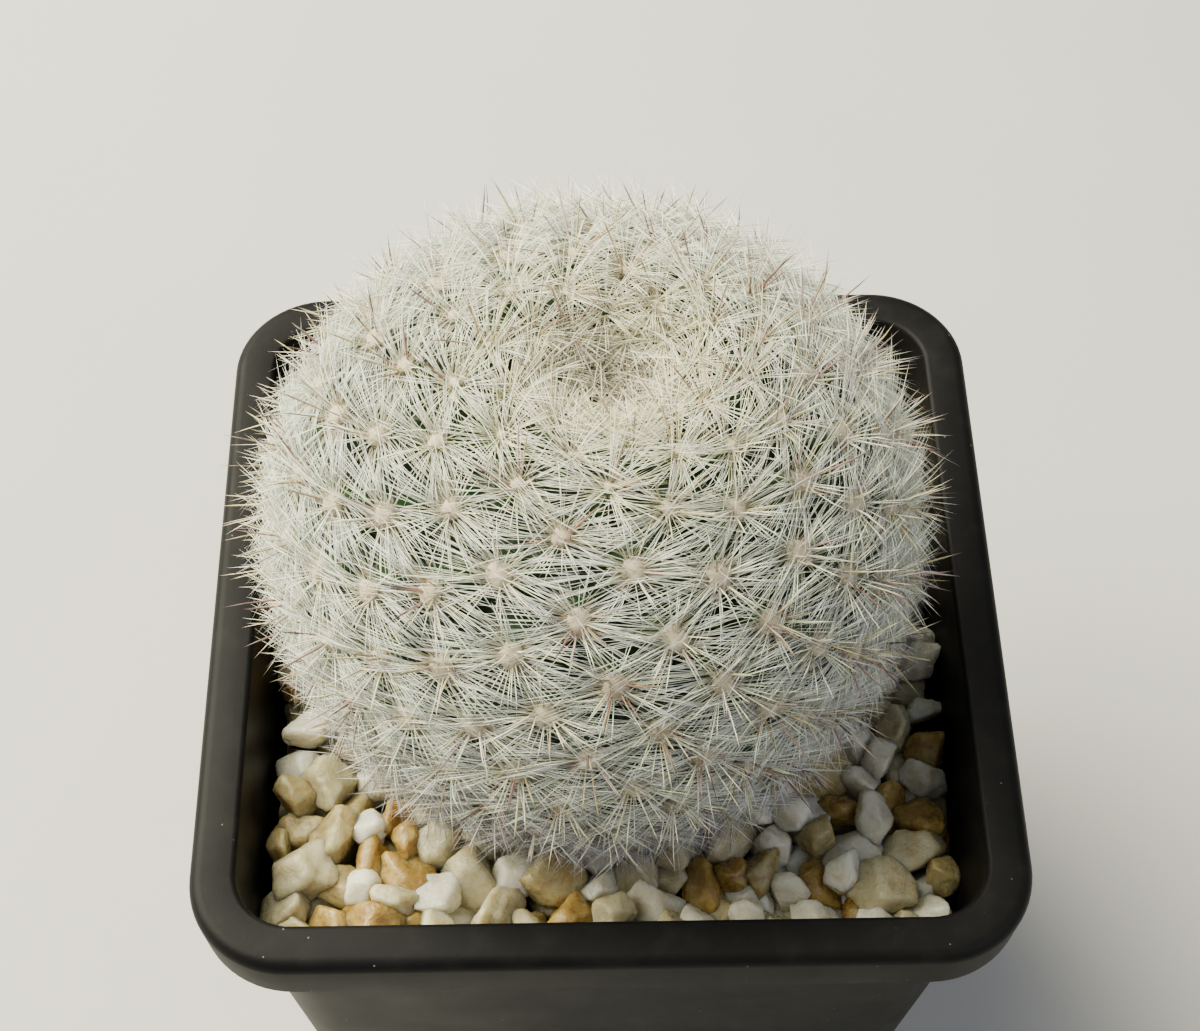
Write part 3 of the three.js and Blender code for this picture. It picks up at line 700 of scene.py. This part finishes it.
def make_root(rng):
    """The tapering root under the body, hidden in the soil."""
    top = BODY_MIDDLE - BODY_DROP + ROOT_OVERLAP
    share = np.linspace(0, 1, ROOT_RINGS)
    widths = [0.2, ROOT_TIP_RADIUS, ROOT_TOP_RADIUS - 1.5, ROOT_TOP_RADIUS, ROOT_TOP_RADIUS + 0.6]
    radius = np.interp(share, [0, 0.04, 0.62, 0.9, 1], widths)
    height = ROOT_TIP + (top - ROOT_TIP) * share
    turn = np.arange(ROOT_SIDES) / ROOT_SIDES * 2 * math.pi
    folds = 1 + np.cos(5 * turn[None] + 3 * share[:, None])
    folds = 1 - 0.05 * folds * rng.uniform(0.6, 1.0, (ROOT_RINGS, 1))
    x = radius[:, None] * folds * np.cos(turn) + AXIS_X
    y = radius[:, None] * folds * np.sin(turn)
    z = np.repeat(height[:, None], ROOT_SIDES, 1)
    points, triangles = loft(list(np.stack([x, y, z], 2)))
    make_piece("cactus_root", points, triangles, root_material(), ["cactus"])


# Grit

def past_wall(x, y, z, margin):
    """How far points are outside the pot's hollow, plus a margin: negative where they clear the wall."""
    side, corner = wall_at(z)
    half, round_ = side / 2 - WALL, corner - WALL
    qx, qy = np.abs(x) - (half - round_), np.abs(y) - (half - round_)
    outside = np.hypot(np.maximum(qx, 0), np.maximum(qy, 0)) + np.minimum(np.maximum(qx, qy), 0) - round_
    return outside + margin


def body_radius_at(profile, z):
    """The buried stem's radius at a height."""
    lower = profile["height"] < BODY_MIDDLE
    lower[:len(lower) // 2] = False
    return np.interp(z, profile["height"][lower][::-1], profile["radius"][lower][::-1])


def pack_stones(profile, rng):
    """Rows of x, y, z and radius. Each stone takes the lowest of many places, and small chips come last."""
    top = GRIT_TOP - 0.1
    placed = np.zeros((0, 4))
    misses = 0
    while misses < MISSES_AT_END:
        chip = misses > MISSES_BEFORE_CHIPS
        sizes = (CHIP_SMALLEST, STONE_SMALLEST) if chip else (STONE_SMALLEST, STONE_LARGEST)
        radius = rng.uniform(*sizes)
        x, y = rng.uniform(-BED_REACH, BED_REACH, (2, PLACES_TRIED))
        z = np.full(PLACES_TRIED, SOIL_TOP + 0.9 * radius)
        if len(placed):
            gap = np.hypot(x[:, None] - placed[:, 0], y[:, None] - placed[:, 1])
            reach = STONE_CLOSENESS * (radius + placed[:, 3])
            lift = np.sqrt(np.maximum(reach ** 2 - gap ** 2, 0))
            z = np.maximum(z, np.where(gap < reach, placed[:, 2] + lift, 0).max(1))
        stem = body_radius_at(profile, z + 0.6 * radius) + 0.95 * radius
        free = (past_wall(x, y, z - 0.3 * radius, 0.93 * radius) < 0) & (np.hypot(x - AXIS_X, y) > stem)
        free &= z + radius < top
        if not free.any():
            misses += 1
            continue
        best = np.where(free, z, np.inf).argmin()
        placed = np.concatenate([placed, [[x[best], y[best], z[best], radius]]])
    return placed


def random_rotation(rng):
    """A rotation matrix, even over all directions."""
    q = rng.normal(size=4)
    w, x, y, z = q / np.linalg.norm(q)
    return np.array([
        [1 - 2 * (y * y + z * z), 2 * (x * y - z * w), 2 * (x * z + y * w)],
        [2 * (x * y + z * w), 1 - 2 * (x * x + z * z), 2 * (y * z - x * w)],
        [2 * (x * z - y * w), 2 * (y * z + x * w), 1 - 2 * (x * x + y * y)],
    ])


def spread_normals(count, rng):
    """Directions spread evenly over the sphere, each then turned at random a little."""
    index = np.arange(count) + 0.5
    z = 1 - 2 * index / count
    turn = index * GOLDEN_ANGLE
    flat = np.sqrt(1 - z * z)
    normals = np.stack([flat * np.cos(turn), flat * np.sin(turn), z], 1) + rng.normal(0, 0.24, (count, 3))
    return normals / np.linalg.norm(normals, axis=1, keepdims=True)


def stone_points(directions, rng):
    """A broken chip: a ball cut by some planes, with worn edges and faintly uneven faces."""
    normals = spread_normals(rng.integers(*STONE_FACES), rng)
    depth = rng.uniform(*STONE_FACE_DEPTH, len(normals))
    sharpness = rng.uniform(*STONE_SHARPNESS)
    reach = (np.maximum(directions @ normals.T, 1e-3) / depth) ** sharpness
    radius = np.minimum(reach.sum(1) ** (-1 / sharpness), STONE_CORNER)
    for size, depth in STONE_WAVES:
        wave = directions @ rng.normal(0, size, (3, 3)) + rng.uniform(0, 6, 3)
        radius = radius * (1 + depth * np.sin(wave).sum(1))
    axes = np.array([rng.uniform(*STONE_LENGTH), 1.0, rng.uniform(*STONE_THICKNESS)])
    return (directions * radius[:, None] * axes) @ random_rotation(rng).T


def make_grit(placed, rng):
    """The stones of each kind as one piece, with finer ones where they are seen."""
    fine, coarse = ball(SEEN_FREQUENCY), ball(HIDDEN_FREQUENCY)
    seen = seen_from_above(placed)
    # Paler kinds grow commoner towards the right: partly the grit's own mix, partly painted light where the
    # plant shades the stones.
    rightward = np.clip(0.5 + placed[:, :1] / POT_SIDE, 0, 1)
    left, right = (np.cumsum([kind[side] for kind in STONE_KINDS.values()]) for side in (0, 1))
    kinds = (rng.uniform(size=(len(placed), 1)) > left + (right - left) * rightward).sum(1)
    for number, (name, (_, _, deep, pale, stain, staining)) in enumerate(STONE_KINDS.items()):
        parts, tones = [], []
        for i in np.flatnonzero(kinds == number):
            directions, triangles = fine if seen[i] else coarse
            points = stone_points(directions, rng) * (STONE_FILL * placed[i, 3]) + placed[i, :3]
            parts.append((points, triangles))
            tones.append(np.full(len(points), rng.uniform()))
        points, triangles = stack(parts)
        points[:, 2] = np.clip(points[:, 2], SOIL_TOP, GRIT_TOP)
        quartz = stone_material("quartz_" + name, deep, pale, stain, staining)
        attributes = {"tone": np.concatenate(tones)}
        make_piece("grit_" + name, points, triangles, quartz, ["grit"], attributes)


def seen_from_above(placed):
    """Which stones are the topmost somewhere: at their middle or at one of the places round it."""
    turn = np.arange(PLACES_SEEN) / PLACES_SEEN * 2 * math.pi
    reach = np.r_[0, np.full(PLACES_SEEN, 0.65)]
    x = placed[:, :1] + placed[:, 3:] * reach * np.r_[1, np.cos(turn)]
    y = placed[:, 1:2] + placed[:, 3:] * reach * np.r_[0, np.sin(turn)]
    own = placed[:, 2:3] + placed[:, 3:] * np.sqrt(1 - reach ** 2)
    top = grit_height(x.ravel(), y.ravel(), placed).reshape(x.shape)
    return (own > top - 0.35 * placed[:, 3:]).any(1)


def grit_height(x, y, placed):
    """The height of the stones' tops over each point, or of the soil between them."""
    gap = np.hypot(x[:, None] - placed[:, 0], y[:, None] - placed[:, 1])
    reach = 1.12 * placed[:, 3]
    top = np.where(gap < reach, placed[:, 2] + np.sqrt(np.maximum(reach ** 2 - gap ** 2, 0)), SOIL_TOP)
    return top.max(1)


# Spines

def needles(root, direction, bend, length, width, sides, rings):
    """Tapered tubes, one for each row of root, with a ring of points at each share of the way in rings.

    bend is how far the middle stands off the straight line. Gives points, triangles and each point's share.
    """
    count = len(root)
    side = np.cross(direction, bend)
    bad = np.linalg.norm(side, axis=1) < 1e-9
    side[bad] = np.cross(direction[bad], [0.3, 0.5, 0.8])
    side /= np.linalg.norm(side, axis=1, keepdims=True)
    other = np.cross(side, direction)
    points, shares = [], []
    for ring in rings:
        centre = root + direction * (length * ring)[:, None] + bend * (4 * ring * (1 - ring))
        thick = width / 2 * (1 - 0.75 * ring ** 3)
        for k in range(sides):
            angle = 2 * math.pi * k / sides
            points.append(centre + (side * math.cos(angle) + other * math.sin(angle)) * thick[:, None])
            shares.append(np.full(count, ring))
    points.append(root + direction * length[:, None])
    shares.append(np.ones(count))
    per = len(points)
    points = np.stack(points, 1).reshape(-1, 3)
    shares = np.stack(shares, 1).ravel()
    pattern = []
    for r in range(len(rings) - 1):
        for k in range(sides):
            a, b = r * sides + k, r * sides + (k + 1) % sides
            pattern += [[a, b, b + sides], [a, b + sides, a + sides]]
    last = (len(rings) - 1) * sides
    pattern += [[last + k, last + (k + 1) % sides, per - 1] for k in range(sides)]
    pattern += [[0, k + 1, k] for k in range(1, sides - 1)]
    triangles = (np.array(pattern)[None] + np.arange(count)[:, None, None] * per).reshape(-1, 3)
    return points, triangles, shares


class Spines:
    """Spines of one kind, as rows of roots, directions, lengths and tints, before they become a mesh."""

    def __init__(self, areoles, owner, turn, tilt, start, length, width, rise, rng, upward=0.0):
        normal, east, north = (areoles[key][owner] for key in ("normal", "east", "north"))
        self.flat = east * np.cos(turn)[:, None] + north * np.sin(turn)[:, None]
        self.normal = normal
        self.tilt = tilt
        self.length = length
        self.width = width
        self.rise = rise
        self.owner = owner
        self.root = areoles["tip"][owner] + self.flat * start[:, None] - normal * SPINE_SINK
        self.root += north * np.broadcast_to(upward, len(owner))[:, None]
        self.tone = rng.uniform(size=len(owner))
        self.tint = rng.uniform(size=len(owner))
        self.youth = 1 - areoles["grown"][owner]
        self.age = areoles["age"][owner]
        self.sway = rng.normal(0, SPINE_SWAY, len(owner))
        self.arc = areoles["out"][owner] * (YOUNG_ARC * self.youth * np.abs(np.cos(turn)))[:, None]

    def direction(self):
        return self.flat * np.cos(self.tilt)[:, None] + self.normal * np.sin(self.tilt)[:, None]

    def tip(self):
        return self.root + self.direction() * self.length[:, None]

    def clear(self, placed):
        """Lifts the spines that would run into the stones, and drops those that can't be lifted clear."""
        for _ in range(LIFT_TRIES):
            low = self.hits(placed)
            self.tilt = np.where(low, self.tilt + math.radians(LIFT_STEP), self.tilt)
            self.length = np.where(low, self.length * LIFT_LENGTH, self.length)
        return self.only(~self.hits(placed))

    def hits(self, placed):
        tip = self.tip()
        halfway = (self.root + tip) / 2
        return self.under(tip, placed) | self.under(halfway, placed)

    @staticmethod
    def under(points, placed):
        """Which points lie in a stone, or in the pot's wall."""
        x, y, z = points.T
        low = z < GRIT_TOP + 0.3
        result = (z < POT_HEIGHT + 0.3) & (past_wall(x, y, z, 0.4) > 0)
        if low.any():
            result[low] |= z[low] < grit_height(x[low], y[low], placed) + 0.1
        return result

    def only(self, chosen):
        """The chosen rows as spines of their own."""
        part = copy.copy(self)
        for key, value in vars(self).items():
            if isinstance(value, np.ndarray):
                setattr(part, key, value[chosen])
        return part

    def mesh(self, sides, rings):
        direction = self.direction()
        over = np.cross(np.cross(direction, self.normal), direction)
        size = np.linalg.norm(over, axis=1, keepdims=True)
        bend = over / np.maximum(size, 1e-6) * self.rise[:, None]
        bend += np.cross(direction, self.normal) * self.sway[:, None] + self.arc
        bend *= self.length[:, None]
        points, triangles, along = needles(self.root, direction, bend, self.length, self.width, sides, rings)
        per = len(points) // len(self.root)
        own = {key: np.repeat(getattr(self, key), per) for key in ("tone", "tint", "youth", "age")}
        return points, triangles, {"along": along, **own}


def length_for(areoles, owner, full, rng):
    """Lengths round the full one, and shorter on the young areoles."""
    grown_share = YOUNG_LENGTH + (1 - YOUNG_LENGTH) * np.sqrt(areoles["grown"][owner])
    return full * grown_share * rng.uniform(*LENGTH_SPREAD, len(owner))


def inwardness(areoles, owner, turn):
    """How much a spine points towards the plant's axis, from -1 to 1."""
    east, north = areoles["east"][owner], areoles["north"][owner]
    flat = east * np.cos(turn)[:, None] + north * np.sin(turn)[:, None]
    return -(flat * areoles["out"][owner]).sum(1)


def crowding(areoles, owner):
    """From 0 on grown areoles to 1 on those round the growing point, whose spines push each other up."""
    return smooth(1.7 * (1 - areoles["grown"][owner]))


def shared_out(areoles, full, youngest, rng):
    """Which areole each spine belongs to, and its place among its sisters as a share from 0 to 1."""
    grown = areoles["grown"]
    share = youngest + (1 - youngest) * np.sqrt(grown)
    counts = np.round(full * share * rng.uniform(0.9, 1.1, len(grown))).astype(int)
    owner = np.repeat(np.arange(len(counts)), counts)
    place = np.concatenate([(np.arange(n) + 0.5) / n for n in counts])
    return owner, place


def radial_spines(areoles, rng):
    """Two combs of fine spines beside each areole, dense in their middle and fanning at their ends."""
    owner, place = shared_out(areoles, RADIALS, 0.64, rng)
    grown, age, crowd = areoles["grown"][owner], areoles["age"][owner], crowding(areoles, owner)
    count = len(owner)
    eastern = place < 0.5
    across = np.where(eastern, 4 * place - 1, 4 * place - 3)
    fan = math.radians(COMB_FAN) * across + math.radians(COMB_FLARE) * across ** 5
    disorder = 0.12 + 0.9 * age + 0.6 * crowd
    turn = np.where(eastern, 0, math.pi) + fan + rng.normal(0, 1, count) * disorder
    upward = AREOLE_RADIUS * 0.85 * across * np.where(eastern, 1, -1) * (0.3 + 0.7 * grown)
    start = AREOLE_RADIUS * (0.12 + 0.5 * grown ** 2) * rng.uniform(0.5, 1.25, count)
    tilt = 3 + rng.normal(0, 1, count) * (4 + 9 * age) + 14 * rng.uniform(size=count) ** 2 + 9 * age
    tilt += crowd * rng.uniform(0, 24, count)
    tilt += 14 * crowd * np.maximum(0, inwardness(areoles, owner, turn))
    length = length_for(areoles, owner, RADIAL_LENGTH, rng)
    length *= 1 - 0.26 * np.abs(across) ** 3 - 0.12 * age
    width = RADIAL_WIDTH * rng.uniform(0.8, 1.15, count) * (1 - 0.04 * crowd - 0.18 * age)
    rise = rng.normal(0.012, 0.014, count) + 0.03 * crowd
    spines = Spines(areoles, owner, turn, np.radians(tilt), start, length, width, rise, rng, upward)
    # Darker tones on the combs: partly their own greyer colour, partly painted shade on the lower layer.
    spines.tone *= 0.7
    spines.tint *= 0.95 - 0.6 * age
    spines.sway *= 1 + 2 * age
    return spines


def bristle_spines(areoles, rng):
    """Stiffer spines that lean out all round each areole and cross over the combs; paler partly in their own
    colour and partly as painted light on the top layer.
    """
    owner, place = shared_out(areoles, BRISTLES, 0.35, rng)
    age, crowd = areoles["age"][owner], crowding(areoles, owner)
    count = len(owner)
    turn = 2 * math.pi * place + rng.normal(0, 1, count) * (0.3 + 0.3 * crowd + 0.9 * age)
    tilt = np.radians(np.clip(rng.normal(BRISTLE_TILT, BRISTLE_TILT / 2, count), 5, 66))
    start = AREOLE_RADIUS * rng.uniform(0.05, 0.65, count)
    length = length_for(areoles, owner, BRISTLE_LENGTH, rng)
    length *= rng.uniform(0.62, 1.0, count) * (1 - 0.2 * age)
    width = BRISTLE_WIDTH * rng.uniform(0.75, 1.15, count) * (1 - 0.25 * age - 0.14 * crowd)
    rise = rng.normal(0.01, 0.02, count)
    spines = Spines(areoles, owner, turn, tilt, start, length, width, rise, rng)
    # Lighter tones on the bristles: partly their own colour, partly painted light on the top layer.
    spines.tone = (0.35 + 0.65 * spines.tone) * (1 - 0.4 * age)
    spines.tint = 0.3 + 0.7 * spines.tint
    spines.root += BRISTLE_LIFT * spines.normal
    return spines


def central_spines(areoles, rng):
    """The thickest spines, that stand out of the middle of each areole."""
    owner, place = shared_out(areoles, CENTRALS, 0.3, rng)
    age = areoles["age"][owner]
    count = len(owner)
    turn = 2 * math.pi * place + rng.normal(0, 0.25, count)
    tilt = np.radians(np.clip(rng.normal(CENTRAL_TILT, 13, count), 32, 88))
    start = AREOLE_RADIUS * rng.uniform(0.1, 0.65, count)
    length = length_for(areoles, owner, CENTRAL_LENGTH, rng)
    length *= rng.uniform(0.65, 1.03, count) * (1 - 0.3 * age)
    length *= 1 + 0.4 * crowding(areoles, owner)
    width = CENTRAL_WIDTH * rng.uniform(0.8, 1.1, count) * (1 - 0.3 * age)
    rise = rng.normal(0.012, 0.015, count)
    spines = Spines(areoles, owner, turn, tilt, start, length, width, rise, rng)
    room = CACTUS_TOP - SPINE_MARGIN - spines.root[:, 2]
    spines.length = np.minimum(spines.length, room / np.maximum(spines.direction()[:, 2], 0.1))
    return spines


def make_spines(name, spines, sides, rings, material):
    points, triangles, attributes = spines.mesh(sides, rings)
    make_piece(name, points, triangles, material, ["cactus"], attributes)


def make_radials(areoles, placed, rng):
    """The radial spines of the crown, the shoulder and the flank, and the bristles, as four pieces."""
    spines = radial_spines(areoles, rng).clear(placed)
    bristles = bristle_spines(areoles, rng).clear(placed)
    root, young = (0.66, 0.58, 0.47), (0.98, 0.92, 0.66)
    # The combs are greyer and the bristles paler: partly their own colours, partly painted shade below and
    # painted light on top.
    white = spine_material("radial_spines", root, (0.72, 0.815, 0.775), (0.79, 0.88, 0.84), young)
    bright = spine_material("bristle_spines", root, (0.86, 0.98, 0.82), (0.9, 0.98, 0.88), young)
    high = areoles["tip"][spines.owner, 2] >= BODY_MIDDLE + 1
    crown = spines.youth > YOUNG_SPINES
    groups = {
        "crown": (crown, (0, 0.3, 0.65)),
        "shoulder": (~crown & high, (0, 0.55)),
        "flank": (~crown & ~high, (0, 0.55)),
    }
    for name, (chosen, rings) in groups.items():
        make_spines("radial_spines_" + name, spines.only(chosen), 3, rings, white)
    make_spines("bristle_spines", bristles, 3, (0, 0.55), bright)


def make_centrals(areoles, placed, rng):
    """Russet central spines with dark tips, more of them on some areoles, and thinner pale ones."""
    spines = central_spines(areoles, rng).clear(placed)
    redness = rng.beta(0.8, 0.8, len(areoles["grown"])) * (1 - 0.6 * areoles["age"])
    red = rng.uniform(size=len(spines.owner)) < redness[spines.owner]
    spines.width = np.where(red, spines.width, PALE_WIDTH * spines.width)
    for name, chosen in (("pale", ~red), ("russet", red)):
        material = spine_material("central_spines_" + name, *CENTRAL_TINTS[name])
        make_spines("central_spines_" + name, spines.only(chosen), 4, (0, 0.35, 0.7), material)


def make_wool(areoles, rng):
    """A small felted cushion on each areole, with short hairs."""
    directions, triangles = ball(2)
    mature = areoles["grown"] * (0.5 + 0.5 * smooth(3 * areoles["age"]))
    sizes = AREOLE_RADIUS * (0.2 + 0.8 * areoles["grown"] ** 2)
    parts, ages = [], []
    for i in range(len(sizes)):
        lumps = 1
        for frequency, height in WOOL_LUMPS:
            lumps += height * np.sin(directions @ rng.normal(0, frequency, 3) + rng.uniform(0, 6))
        local = directions * lumps[:, None] * sizes[i] * WOOL_REACH
        axes = np.stack([areoles[key][i] for key in ("east", "north", "normal")])
        middle = areoles["tip"][i] - areoles["normal"][i] * WOOL_SINK
        parts.append((middle + local @ axes, triangles))
        ages.append(np.full(len(directions), mature[i]))
    owner = np.repeat(np.arange(len(sizes)), WOOL_HAIRS)
    count = len(owner)
    turn = rng.uniform(0, 2 * math.pi, count)
    tilt = np.arcsin(rng.uniform(0.08, 1.0, count))
    flat = np.hypot(np.cos(turn) / WOOL_REACH[0], np.sin(turn) / WOOL_REACH[1]) * np.cos(tilt)
    cushion = sizes[owner] / np.hypot(flat, np.sin(tilt) / WOOL_REACH[2])
    length = cushion * rng.uniform(*WOOL_HAIR_REACH, count) + 0.1
    straight = np.zeros(count)
    width = np.full(count, WOOL_HAIR_WIDTH)
    hairs = Spines(areoles, owner, turn, tilt, straight, length, width, straight, rng)
    hair_points, hair_triangles, _ = hairs.mesh(3, (0,))
    parts.append((hair_points, hair_triangles))
    ages.append(np.repeat(mature[owner], len(hair_points) // count))
    points, triangles = stack(parts)
    attributes = {"age": np.concatenate(ages)}
    make_piece("areole_wool", points, triangles, wool_material(), ["cactus"], attributes)


# Stage

def make_stage():
    """A plain pale floor."""
    corners = [(x * FLOOR_REACH, y * FLOOR_REACH, 0) for x, y in ((-1, -1), (1, -1), (1, 1), (-1, 1))]
    floor_mesh = bpy.data.meshes.new("floor")
    floor_mesh.from_pydata(corners, [], [(0, 1, 2, 3)])
    s = Shader("pale_floor")
    s.set(Base_Color=s.mix(s.noise(40, 2), (0.46, 0.455, 0.44), (0.5, 0.495, 0.48)))
    s.set(Roughness=0.75)
    floor_mesh.materials.append(s.material)
    floor = add_object("floor", floor_mesh)


def make_lights():
    """A large warm lamp from behind on the left, a weak one from the front on the right, and a pale sky."""
    target = Vector((0, 0, POT_HEIGHT * MM))
    for name, (place, size, power, colour) in LAMPS.items():
        data = bpy.data.lights.new(name, "AREA")
        data.size = size
        data.energy = power
        data.color = colour
        lamp = add_object(name, data)
        lamp.location = place
        lamp.rotation_mode = "QUATERNION"
        lamp.rotation_quaternion = (target - Vector(place)).to_track_quat("-Z", "Y")
    world = bpy.data.worlds.new("studio")
    world.use_nodes = True
    background = world.node_tree.nodes["Background"].inputs
    background["Color"].default_value = (*SKY, 1)
    background["Strength"].default_value = SKY_STRENGTH
    bpy.context.scene.world = world


def make_camera():
    """A camera that sees the pot's rim where the photograph shows it."""
    forward = Vector((0, math.cos(ELEVATION), -math.sin(ELEVATION)))
    up = Vector((0, math.sin(ELEVATION), math.cos(ELEVATION)))
    right = Vector((1, 0, 0))
    place = -(right * RIM_RIGHT + up * RIM_UP + forward * RIM_DISTANCE)
    rolled_right = right * math.cos(ROLL) - up * math.sin(ROLL)
    rolled_up = right * math.sin(ROLL) + up * math.cos(ROLL)
    back = Matrix.Rotation(-POT_TURN, 3, "Z")
    axes = Matrix([back @ rolled_right, back @ rolled_up, back @ -forward]).transposed().to_4x4()
    data = bpy.data.cameras.new("camera")
    data.lens = FOCAL_PIXELS * SENSOR / PHOTO_WIDTH
    data.sensor_width = SENSOR
    data.clip_start, data.clip_end = 0.01, 20
    camera = add_object("camera", data)
    rim = Vector((0, 0, POT_HEIGHT))
    camera.matrix_world = Matrix.Translation((back @ place + rim) * MM) @ axes
    bpy.context.scene.camera = camera


make_camera()
make_lights()
make_stage()
make_pot()
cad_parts["soil"].material_slots[0].material = soil_material()

profile = body_profile()
areoles = make_areoles(profile)
stones = pack_stones(profile, np.random.default_rng(11))
make_grit(stones, np.random.default_rng(12))
make_body(profile, areoles)
make_root(np.random.default_rng(14))
make_wool(areoles, np.random.default_rng(15))
make_radials(areoles, stones, np.random.default_rng(16))
make_centrals(areoles, stones, np.random.default_rng(17))
